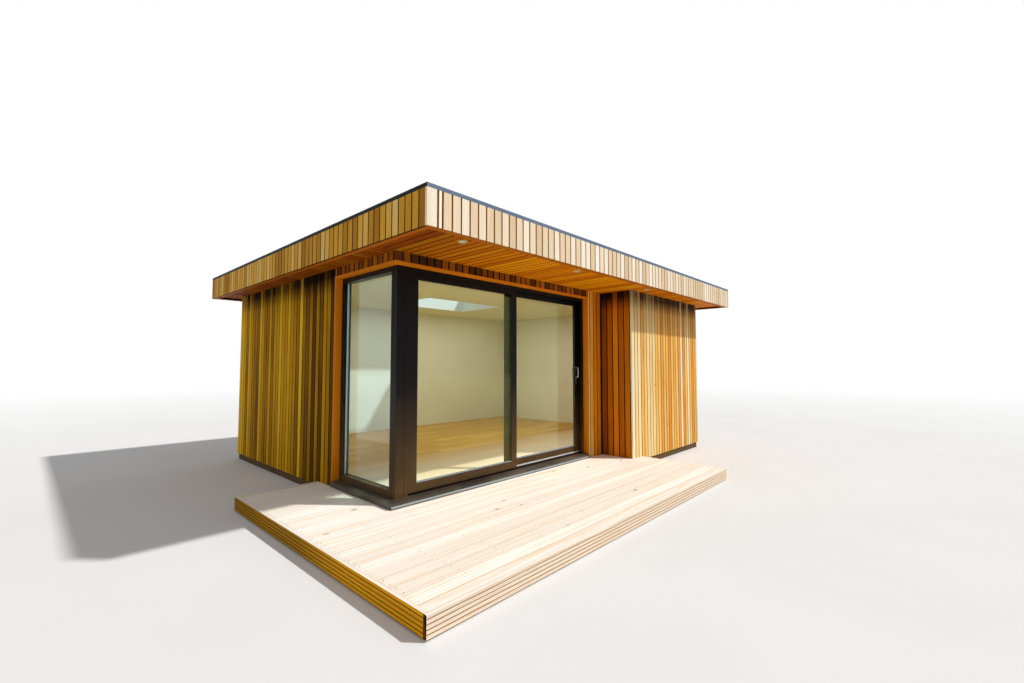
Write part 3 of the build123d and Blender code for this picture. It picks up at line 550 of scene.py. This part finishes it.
# The leaves' lower beads, the side window's rear bead and the sill's nose catch the sky
LEAF = black_coat("leaf_powder_coat", (rgb(150, 166, 186), Z, 0.6, 2, 0.0, 1.0))
SIDE_FRAME = black_coat(
    "side_powder_coat", (rgb(206, 224, 228), -Y, 0.9, 0, CORNER.x + 0.034, CORNER.x + 0.052)
)
SILL = coated_metal(
    "dusty_sill", rgb(46, 41, 36), 0.3, rgb(116, 104, 90), dust_amount=0.6,
    edge=(rgb(160, 172, 176), -Y, 0.9, 2, CORNER.z + 0.010, CORNER.z + 0.027),
)
TRIM = sunlit_and_shaded_metal("grey_coated_trim", rgb(20, 26, 24), rgb(98, 114, 140), 0.42)
TRACK = brushed(
    "mill_aluminium", rgb(252, 253, 254), (6.0, 300.0, 300.0), metallic=0.1, shaded_before=RAIL_SHADE_END
)
STEEL = brushed("brushed_steel_parts", rgb(196, 196, 196), (500.0, 500.0, 9.0), 0.25)
NYLON = coated_metal("nylon_wheel", rgb(52, 52, 52), 0.5, rgb(78, 74, 68))
WHITE = paint("off_white_paint", rgb(234, 234, 214))
# The shaft's bluer, brighter white is painted skylight
CEILING = paint("ceiling_paint", rgb(242, 240, 208), shaft=rgb(246, 253, 255))
LENS = paint("frosted_lens", rgb(226, 216, 168), 0.02)
BEZEL = coated_metal("satin_bezel", rgb(198, 188, 150), 0.35, rgb(170, 160, 124), metallic=0.4)
# Painted light in the glass tints: the door's yellow-green stands for the garden reflected in it, and
# the window's and rooflight's blue for the bluish light seen through them
GLASS = glazing("double_glazing", (0.82, 0.965, 1.0, 1), (0.4, 0.8, 1.0, 1))
DOOR_GLASS = glazing("door_glazing", (0.97, 0.985, 0.87, 1), (0.6, 0.7, 0.14, 1))
ROOF_GLASS = glazing("tinted_roof_glazing", (0.86, 0.95, 1.0, 1), (0.66, 0.78, 0.36, 1))
SHEET = rubber_sheet("rubber_roof", rgb(62, 64, 68))


# Boards

def link(mesh, name, slot, body=BODY):
    """Put a mesh in the scene on its body."""
    made = bpy.data.objects.new(name, mesh)
    bpy.context.scene.collection.objects.link(made)
    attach(made, body)
    return made


def corners(node):
    low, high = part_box(node)
    return Vector(low), Vector(high)


def solids(node):
    """Boxes of a CAD node's separate solids, as (lowest, highest) corners in order."""
    shape = bmesh.new()
    shape.from_mesh(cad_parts[node].data)
    bmesh.ops.remove_doubles(shape, verts=shape.verts, dist=2e-5)
    seen = set()
    found = []
    for first in shape.verts:
        if first in seen:
            continue
        seen.add(first)
        stack = [first]
        low, high = first.co.copy(), first.co.copy()
        while stack:
            vert = stack.pop()
            for n in range(3):
                low[n] = min(low[n], vert.co[n])
                high[n] = max(high[n], vert.co[n])
            for edge in vert.link_edges:
                other = edge.other_vert(vert)
                if other not in seen:
                    seen.add(other)
                    stack.append(other)
        found.append((low, high))
    shape.free()
    return sorted(found, key=lambda box: [round(c, 4) for c in box[0]])


def plain_section(width, thick, arris=ARRIS):
    """A board's section, back to front, with its two front edges eased."""
    return [(0, 0), (width, 0), (width, thick - arris), (width - arris, thick),
            (arris, thick), (0, thick - arris)]


def grooved_section(width, thick, pitch, cut, deep, first=None):
    """A board's section with grooves along its front."""
    count = int((width - cut) / pitch)
    start = (width - (count - 1) * pitch) / 2 if first is None else first
    points = [(0, 0), (width, 0), (width, thick - ARRIS), (width - ARRIS, thick)]
    for centre in reversed([start + n * pitch for n in range(count)]):
        if ARRIS + cut / 2 < centre < width - ARRIS - cut / 2:
            points += [(centre + cut / 2, thick), (centre + cut / 4, thick - deep),
                       (centre - cut / 4, thick - deep), (centre - cut / 2, thick)]
    return points + [(ARRIS, thick), (0, thick - ARRIS)]


def gap_depth(below):
    """1 at a board's face, falling to 0 at the bottom of the gap beside it."""
    return max(0.0, 1 - below / GAP_DEPTH)


def deck_depth(below):
    """Dark with painted shade in the joints between boards, and only faintly in their grooves."""
    return 0.915 if 0.002 < below < 0.0045 else gap_depth(below)


def groove_depth(below):
    """Darker with painted shade in the grooves of a board whose edges lie open."""
    return 0.72 if 0.0025 < below < 0.005 else 1.0


def open_edges(below):
    """No gap beside the board."""
    return 1.0


class Boards:
    """Boards and plain backing sheets gathered into one mesh."""

    def __init__(self, name, materials, slot, depth=gap_depth):
        self.name = name
        self.materials = materials
        self.slot = slot
        self.depth = depth
        self.points, self.faces, self.paint = [], [], []
        self.grain, self.tone, self.deep = [], [], []

    def prism(self, origin, across, outward, along, section, length, tone=None, paint=0,
              side_paint=None, end_paint=None, bare=(False, False)):
        """Run a section of (across, outward) points along a line; a bare side has no gap beside it."""
        shift = [rng.uniform(0, 40) for n in range(3)]
        tone = rng.betavariate(2.2, 2.2) if tone is None else tone
        face = max(v for u, v in section)
        half = max(u for u, v in section) / 2
        first = len(self.points)
        count = len(section)
        for s in (0.0, length):
            for u, v in section:
                self.points.append(origin + across * u + outward * v + along * s)
                self.grain.append((u + shift[0], v + shift[1], s + shift[2]))
                self.tone.append(tone)
                self.deep.append(1.0 if bare[u > half] else self.depth(face - v))
        for n in range(count):
            m = (n + 1) % count
            self.faces.append((first + n, first + m, first + count + m, first + count + n))
            self.paint.append(side_paint if side_paint is not None and n == 1 else paint)
        self.faces.append(tuple(range(first, first + count)))
        self.faces.append(tuple(range(first + count, first + 2 * count)))
        self.paint += [paint if end_paint is None else end_paint] * 2

    def sheet(self, low, high, paint=1):
        """A plain backing sheet between two corners."""
        size = high - low
        section = [(0, 0), (size.x, 0), (size.x, size.y), (0, size.y)]
        self.prism(low, X, Y, Z, section, size.z, 0.4, paint)

    def make(self, replaced=()):
        mesh = bpy.data.meshes.new(self.name)
        mesh.from_pydata(self.points, [], self.faces)
        grain = [c for point in self.grain for c in point]
        for name, kind, key, values in (
            ("grain", "FLOAT_VECTOR", "vector", grain),
            ("tone", "FLOAT", "value", self.tone),
            ("deep", "FLOAT", "value", self.deep),
        ):
            mesh.attributes.new(name, kind, "POINT").data.foreach_set(key, values)
        for material in self.materials:
            mesh.materials.append(material)
        mesh.polygons.foreach_set("material_index", self.paint)
        shape = bmesh.new()
        shape.from_mesh(mesh)
        bmesh.ops.recalc_face_normals(shape, faces=shape.faces)
        shape.to_mesh(mesh)
        shape.free()
        made = link(mesh, self.name, self.slot)
        if replaced:
            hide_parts(*replaced)


def strips(low, high, first, pitch=PITCH, width=BOARD):
    """Starts and widths of boards from low to high, counted from a known board's start."""
    start = first - math.ceil((first - low) / pitch) * pitch
    while start < high:
        a, b = max(start, low), min(start + width, high)
        if b - a >= LEAST_BOARD:
            yield a, b - a
        start += pitch


def random_tones(spread, known=()):
    """Boards' tones, the known ones first, more alike as the spread rises."""
    yield from known
    while True:
        yield rng.betavariate(spread, spread)


def clad(boards, box, outward, runs, tones, paint=0):
    """Upright boards over one face of a slab, in front of a dark sheet."""
    low, high = box
    axis = 0 if outward.x else 1
    across = Y if outward.x else X
    back_low, back_high = low.copy(), high.copy()
    front = outward[axis] > 0
    if front:
        back_high[axis] = low[axis] + BACKING
    else:
        back_low[axis] = high[axis] - BACKING
    boards.sheet(back_low, back_high)
    thick = high[axis] - low[axis] - BACKING
    for (start, width), tone in zip(runs, tones):
        origin = low.copy()
        origin[axis] = back_high[axis] if front else back_low[axis]
        origin[1 - axis] = start
        section = plain_section(width, thick - rng.uniform(0, UNEVEN))
        bare = (start < low[1 - axis] + ON_FACE, start + width > high[1 - axis] - ON_FACE)
        boards.prism(origin, across, outward, Z, section, high.z - low.z, tone, paint, bare=bare)


def clad_wall(node, name, material, outward, tones, first=0.0):
    """A wall face's boards, the first one starting a little way in."""
    low, high = corners(node)
    way = 1 if outward.x else 0
    made = Boards(name, [material, MEMBRANE], "larch_cladding")
    runs = strips(low[way] + first, high[way], low[way] + first)
    clad(made, (low, high), outward, runs, tones)
    made.make([node])


def cladding():
    """Upright boards on every wall face, paler at the front and right partly from bleaching and partly
    as painted light, and dark by the glazing partly for their tones and partly as painted shade.
    """
    tones = random_tones(1.3, LEFT_TONES)
    clad_wall("left_cladding", "left_boards", WALL_SIDE, -X, tones, 0.004)
    clad_wall("rear_cladding", "rear_boards", WALL_SIDE, Y, random_tones(1.4))
    clad_wall("right_cladding", "right_boards", WALL_FRONT, X, random_tones(0.9))
    clad_wall("bay_cladding", "bay_boards", WALL_FRONT, -Y, random_tones(0.9, BAY_TONES))

    low, high = corners("return_cladding")
    wall = Boards("return_boards", [WALL_RETURN, MEMBRANE], "larch_cladding")
    runs = reversed(list(strips(low.y + 0.001, high.y - 0.015, low.y + 0.012)))
    clad(wall, (low, high), -X, runs, RETURN_TONES)
    wall.make(["return_cladding"])

    wall = Boards("opening_boards", [WALL_SHELTERED, MEMBRANE, WALL_PIER], "larch_cladding")
    for low, high in solids("opening_cladding"):
        if high.z - low.z > 1:
            runs = [(CORNER.x + a, b - a) for a, b in PIER_BOARDS]
            clad(wall, (low, high), -Y, runs, PIER_TONES, 2)
        elif high.x - low.x > 1:
            runs = strips(low.x, high.x, low.x, PITCH, BAND_BOARD)
            clad(wall, (low, high), -Y, runs, random_tones(0.7))
        else:
            runs = strips(low.y + 0.013, high.y, low.y + 0.013, PITCH, BAND_BOARD)
            clad(wall, (low, high), -X, runs, random_tones(0.7))
    wall.make(["opening_cladding"])


def known_runs(start, end, known, others):
    """The boards known from the photograph, then regular ones from a given distance on."""
    return [(start + a, width) for a, width in known] + list(strips(start + others, end, start + others))


def fascias():
    """Short upright boards round the roof edge, paler on the sun's sides partly from bleaching and
    partly as painted light, over timber grounds.
    """
    made = Boards("fascia_boards", [FASCIA_SIDE, FASCIA_BACK, FASCIA_FRONT], "larch_cladding")
    low, high = corners("fascias")
    for a, b in solids("fascias"):
        if b.x - a.x > 1 and a.y < low.y + ON_FACE:
            known, others, tones = FRONT_FASCIA
            runs = known_runs(low.x, high.x, known, others)
            clad(made, (a, b), -Y, runs, random_tones(1.8, tones), 2)
        elif b.x - a.x > 1:
            clad(made, (a, b), Y, strips(a.x, b.x, a.x), random_tones(1.6))
        elif a.x < low.x + ON_FACE:
            known, others, tones = LEFT_FASCIA
            clad(made, (a, b), -X, known_runs(a.y, b.y, known, others), random_tones(1.2, tones))
        else:
            clad(made, (a, b), X, strips(a.y, b.y, a.y), random_tones(1.6), 2)
    made.make(["fascias"])


def notched_strip(boards, box, centre, tone):
    """The middle of a soffit board that a light's hole passes, as the parts left on each side."""
    low, high = box
    for side in (-1, 1):
        edge = low.x if side < 0 else high.x
        rim = []
        for n in range(HOLE_STEPS + 1):
            angle = math.pi * n / HOLE_STEPS
            x = centre.x + side * LIGHT_HOLE * math.sin(angle)
            rim.append((min(max(x, low.x), high.x), centre.y - LIGHT_HOLE * math.cos(angle)))
        for (x0, y0), (x1, y1) in zip(rim, rim[1:]):
            if abs(x0 - edge) < 1e-6 and abs(x1 - edge) < 1e-6:
                continue
            section = [(edge - low.x, y0), (x0 - low.x, y0), (x1 - low.x, y1), (edge - low.x, y1)]
            places = [point for n, point in enumerate(section) if point != section[n - 1]]
            if len(places) > 2:
                start = Vector((low.x, 0, high.z))
                boards.prism(start, X, Y, -Z, places, high.z - low.z, tone, bare=(True, True))


def face_down(boards, box, tone, paint=0):
    """A board that fills a box and faces down, with its grain along the box's longer side."""
    low, high = box
    size = high - low
    start = Vector((low.x, low.y, high.z))
    if size.x > size.y:
        boards.prism(start, Y, -Z, X, plain_section(size.y, size.z), size.x, tone, paint)
    else:
        boards.prism(start, X, -Z, Y, plain_section(size.x, size.z), size.y, tone, paint)


def soffit_board(boards, box, start, width, lights):
    """A board along y with the round holes of the lights that it passes."""
    a, b = box
    thick = (b - a).z - BACKING
    tone = rng.betavariate(2.0, 2.0)
    cuts = [c for c in lights if start - LIGHT_HOLE < c.x < start + width + LIGHT_HOLE]
    ends = [a.y]
    for centre in [c for c in cuts if a.y < c.y < b.y]:
        ends += [centre.y - LIGHT_HOLE, centre.y + LIGHT_HOLE]
        middle = (Vector((start, 0, a.z)), Vector((start + width, 0, b.z - BACKING)))
        notched_strip(boards, middle, centre, tone)
    ends.append(b.y)
    for y0, y1 in zip(ends[::2], ends[1::2]):
        place = Vector((start, y0, b.z - BACKING))
        boards.prism(place, X, -Z, Y, plain_section(width, thick), y1 - y0, tone)


def soffit():
    """Boards under the overhangs, with round holes for the lights, and the edge battens."""
    made = Boards("soffit_boards", [SOFFIT, MEMBRANE, EAVES_BATTEN], "larch_soffit")
    low, high = corners("soffit")
    lights = [(a + b) / 2 for a, b in solids("soffit_lights")]
    for a, b in solids("soffit"):
        size = b - a
        if b.z < high.z - 0.005:
            if size.x > size.y:
                start = Vector((a.x, b.y, b.z))
                made.prism(start, -Y, -Z, X, plain_section(size.y, size.z), size.x, 0.5, 2)
            else:
                face_down(made, (a, b), 0.5, 2)
            continue
        made.sheet(Vector((a.x, a.y, b.z - BACKING)), b)
        if a.y < low.y + ON_FACE or (b.y > high.y - ON_FACE and size.x > 3):
            for start, width in strips(a.x, b.x, low.x + 0.005):
                soffit_board(made, (a, b), start, width, lights)
            continue
        for start, width in strips(a.y, b.y, a.y + 0.010):
            place = Vector((a.x, start, b.z - BACKING))
            made.prism(place, Y, -Z, X, plain_section(width, size.z - BACKING), size.x)
    made.make(["soffit"])


def turned(points, faces, centre, rings, sides, down=False):
    """Add rings of (radius, rise) round a centre, and the faces between and inside them."""
    first = len(points)
    for radius, rise in rings:
        for n in range(sides):
            angle = 2 * math.pi * n / sides
            x, y = radius * math.cos(angle), radius * math.sin(angle)
            points.append((centre[0] + x, centre[1] + y, centre[2] + rise))
    for ring in range(len(rings) - 1):
        for n in range(sides):
            a = first + ring * sides + n
            b = first + ring * sides + (n + 1) % sides
            faces.append((a, a + sides, b + sides, b) if down else (a, b, b + sides, a + sides))
    last = range(len(points) - sides, len(points))
    faces.append(tuple(reversed(last)) if down else tuple(last))


def plain_mesh(name, points, faces, material, slot):
    mesh = bpy.data.meshes.new(name)
    mesh.from_pydata(points, [], faces)
    mesh.materials.append(material)
    link(mesh, name, slot)


def light_lenses():
    """Frosted discs with a stepped rim in the soffit lights."""
    for number, (low, high) in enumerate(solids("soffit_lights")):
        centre = (low + high) / 2
        points, faces = [], []
        turned(points, faces, (centre.x, centre.y, low.z), LENS_RINGS, LENS_SIDES, down=True)
        plain_mesh("light_lens_%d" % number, points, faces, LENS, "light_fitting")


def liner():
    """Planed boards round the glazed opening."""
    made = Boards("liner_boards", [LINER], "larch_soffit", open_edges)
    for low, high in solids("opening_liner"):
        size = high - low
        if size.z > 1:
            thin, wide = (X, Y) if size.x < size.y else (Y, X)
            section = plain_section(size.dot(wide), size.dot(thin))
            made.prism(low, wide, thin, Z, section, size.z, 0.6)
        else:
            face_down(made, (low, high), 0.6 if size.x > size.y else 0.5)
    made.make(["opening_liner"])


def deck_row(start, top, columns):
    """A deck board's runs in x as [start, end, far edge], cut short by the walls behind it."""
    runs = []
    for x0, x1, limit in columns:
        far = min(top, limit)
        if far - start < 0.01:
            continue
        if runs and abs(runs[-1][2] - far) < 1e-6:
            runs[-1][1] = x1
        else:
            runs.append([x0, x1, far])
    return runs


def deck_planks():
    """Grooved deck boards along the front, and their screws."""
    low, high = corners("deck_boards")
    parts = solids("deck_boards")
    side = next(p for p in parts if p[1].y > high.y - ON_FACE)
    front = next(p for p in parts if p[0].y < low.y + ON_FACE)
    middle = next(p for p in parts if p is not side and p is not front)
    columns = [(low.x, side[1].x, side[1].y), (side[1].x, middle[1].x, middle[1].y),
               (middle[1].x, front[1].x, front[1].y)]
    made = Boards("deck_planks", [DECKING], "deck_timber", deck_depth)
    screws = []
    joists = [low.x + FIRST_JOIST + n * JOIST_PITCH for n in range(JOISTS)]
    thick = high.z - low.z
    joint = DECK_FRONT_Y + DECK_GAP / 2
    for start, width in strips(low.y, high.y, joint, DECK_PITCH, DECK_PITCH - DECK_GAP):
        tone = rng.betavariate(3.0, 3.0)
        for x0, x1, top in deck_row(start, start + width, columns):
            depth = thick - rng.uniform(0, DECK_UNEVEN)
            if x0 < low.x + ON_FACE:
                x0 += rng.uniform(*DECK_RAGGED_END)
            section = grooved_section(top - start, depth, DECK_GROOVE_PITCH, *DECK_GROOVE)
            made.prism(Vector((x0, start, low.z)), Y, Z, X, section, x1 - x0, tone)
            for joist in joists:
                if x0 + 0.01 < joist < x1 - 0.01 and top - start > 0.1:
                    rows = (start + SCREW_INSET, top - SCREW_INSET)
                    screws += [(joist, y, high.z) for y in rows]
    made.make(["deck_boards"])

    points, faces = [], []
    for place in screws:
        turned(points, faces, place, SCREW_RINGS, SCREW_SIDES)
    plain_mesh("deck_screws", points, faces, STEEL, "steel_hardware")


def deck_edges():
    """Grooved boards on edge round the deck."""
    materials = [DECK_SIDE, DECKING, DECK_FRONT, END_GRAIN]
    made = Boards("deck_edge_planks", materials, "deck_timber", groove_depth)
    for a, b in solids("deck_edge_boards"):
        size = b - a
        faces_y = size.x > size.y
        thick = size.y if faces_y else size.x
        section = grooved_section(size.z, thick, EDGE_GROOVE_PITCH, *EDGE_GROOVE, EDGE_GROOVE_FIRST)
        if faces_y and a.y < CORNER.y - 1.5:
            made.prism(Vector((a.x, b.y, a.z)), Z, -Y, X, section, size.x, 0.5, 2, 1, 3)
        elif faces_y:
            made.prism(a, Z, Y, X, section, size.x, 0.5, 0, 1)
        elif a.x < CORNER.x - 0.8:
            made.prism(Vector((b.x, a.y, a.z)), Z, -X, Y, section, size.y, 0.45, 0, 1)
        else:
            made.prism(a, Z, X, Y, section, size.y, 0.6, 0, 1)
    made.make(["deck_edge_boards"])


def floor():
    """Plank floor inside, staggered in rows."""
    made = Boards("floor_plank_rows", [PLANKS, PANEL], "floor_timber", open_edges)
    for low, high in solids("room_floor"):
        under = high.z - PLANK_THICK
        made.sheet(low, Vector((high.x, high.y, under)))
        for row, (start, width) in enumerate(strips(low.y, high.y, low.y, PLANK_ROW, PLANK_WIDTH)):
            x = low.x - (row * PLANK_STAGGER) % PLANK_LENGTH
            while x < high.x:
                a, b = max(x, low.x), min(x + PLANK_LENGTH - 0.0004, high.x)
                if b - a > 0.02:
                    section = plain_section(width, PLANK_THICK, PLANK_ARRIS)
                    made.prism(Vector((a, start, under)), Y, Z, X, section, b - a)
                x += PLANK_LENGTH
    made.make(["room_floor"])


# CAD pieces that stay

def dress(material, *names):
    for name in names:
        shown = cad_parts[name]
        if not shown.material_slots:
            shown.data.materials.append(material)
        for slot in shown.material_slots:
            slot.material = material


def keep():
    dress(FRAMING, "base_frame", "deck_frame", "lintels", "rooflight_kerb")
    dress(PANEL, "floor_deck", "left_wall", "rear_wall", "right_wall", "bay_front_wall",
          "bay_return_wall", "front_pier", "roof_panel")
    dress(WHITE, "wall_linings")
    dress(CEILING, "ceiling")
    dress(SHEET, "roof_membrane")
    dress(TRIM, "roof_edge_trim")
    dress(BLACK, "rooflight_frame", "corner_post", "door_frame", "threshold", "track_lips")
    dress(LEAF, "fixed_leaf_frame", "sliding_leaf_frame")
    dress(SIDE_FRAME, "corner_window_frame")
    dress(SILL, "sill")
    dress(TRACK, "track_rails")
    dress(STEEL, "pull_handles")
    dress(NYLON, "door_rollers")
    dress(BEZEL, "soffit_lights")
    dress(GLASS, "corner_window_glass")
    dress(DOOR_GLASS, "fixed_leaf_glass", "sliding_leaf_glass")
    dress(ROOF_GLASS, "rooflight_glass")


# Stage, light and camera

def stage():
    """A pale floor that fades to white; it throws back less light than it shows."""
    t = material_tree("pale_floor")
    cloud = t.noise(t.place(), 0.6, 4.0)
    shade = t.mix(t.span(cloud, 0.3, 0.7), rgb(226, 227, 229), rgb(230, 231, 233))
    rays = t.add("ShaderNodeLightPath").outputs
    seen = t.math("ADD", rays["Is Camera Ray"], rays["Is Glossy Ray"])
    seen = t.math("ADD", seen, rays["Is Transmission Ray"], clamp=True)
    colour = t.mix(seen, rgb(204, 200, 190), shade)
    diffuse = t.add("ShaderNodeBsdfDiffuse", {"Color": colour})
    far = t.add("ShaderNodeVectorMath", {0: t.place()}, operation="LENGTH").outputs["Value"]
    white = t.add("ShaderNodeEmission", {"Color": (1, 1, 1, 1), "Strength": 1.0})
    fading = t.math("MULTIPLY", t.span(far, *FLOOR_FADES), seen)
    floor_material = t.finish(t.blend(fading, diffuse, white))
    bpy.ops.mesh.primitive_circle_add(vertices=96, radius=60, fill_type="NGON", location=(0, 0, 0))
    ground = bpy.context.object
    ground.name = "stage_floor"
    ground.data.materials.append(floor_material)


def world_light():
    """Soft fill for the object, plain white behind it."""
    world = bpy.data.worlds.new("studio")
    bpy.context.scene.world = world
    t = Tree(world, "ShaderNodeOutputWorld")
    rays = t.add("ShaderNodeLightPath").outputs
    fill = t.add("ShaderNodeBackground", {0: (1, 1, 1, 1), 1: FILL_STRENGTH})
    white = t.add("ShaderNodeBackground", {0: (1, 1, 1, 1), 1: 1.0})
    seen = t.math("ADD", rays["Is Camera Ray"], rays["Is Transmission Ray"], clamp=True)
    t.finish(t.blend(seen, fill, white))


def lamp(name, kind, energy, direction, place=(0, 0, 0), **props):
    data = bpy.data.lights.new(name, kind)
    data.energy = energy
    for key, value in props.items():
        setattr(data, key, value)
    made = bpy.data.objects.new(name, data)
    bpy.context.scene.collection.objects.link(made)
    made.location = place
    made.rotation_euler = Vector(direction).to_track_quat("Z", "Y").to_euler()
    return made


def lights():
    world_light()
    lamp("key", "SUN", SUN_STRENGTH, TOWARD_SUN, angle=math.radians(2), color=WARM_LIGHT)
    low, high = corners("room_floor")
    middle = (low + high) / 2
    room = lamp("room_fill", "AREA", ROOM_WATTS, Z, (middle.x, 0.6, 2.31), shape="RECTANGLE",
                size=3.6, size_y=2.6, color=WARM_LIGHT)
    room.visible_camera = False
    room.visible_glossy = False
    room.visible_transmission = False


def camera():
    data = bpy.data.cameras.new("photo_view")
    data.sensor_width = 36
    data.lens = CAMERA_LENS
    data.clip_start = 0.05
    data.clip_end = 300
    viewer = bpy.data.objects.new("photo_view", data)
    bpy.context.scene.collection.objects.link(viewer)
    viewer.location = CAMERA_PLACE
    turn, rise = math.radians(CAMERA_TURN), math.radians(CAMERA_RISE)
    level = math.cos(rise)
    ahead = Vector((math.sin(turn) * level, math.cos(turn) * level, math.sin(rise)))
    viewer.rotation_euler = ahead.to_track_quat("-Z", "Y").to_euler()
    bpy.context.scene.camera = viewer


camera()
cladding()
fascias()
soffit()
light_lenses()
liner()
deck_planks()
deck_edges()
floor()
keep()
stage()
lights()
bpy.context.scene.view_settings.view_transform = "Standard"
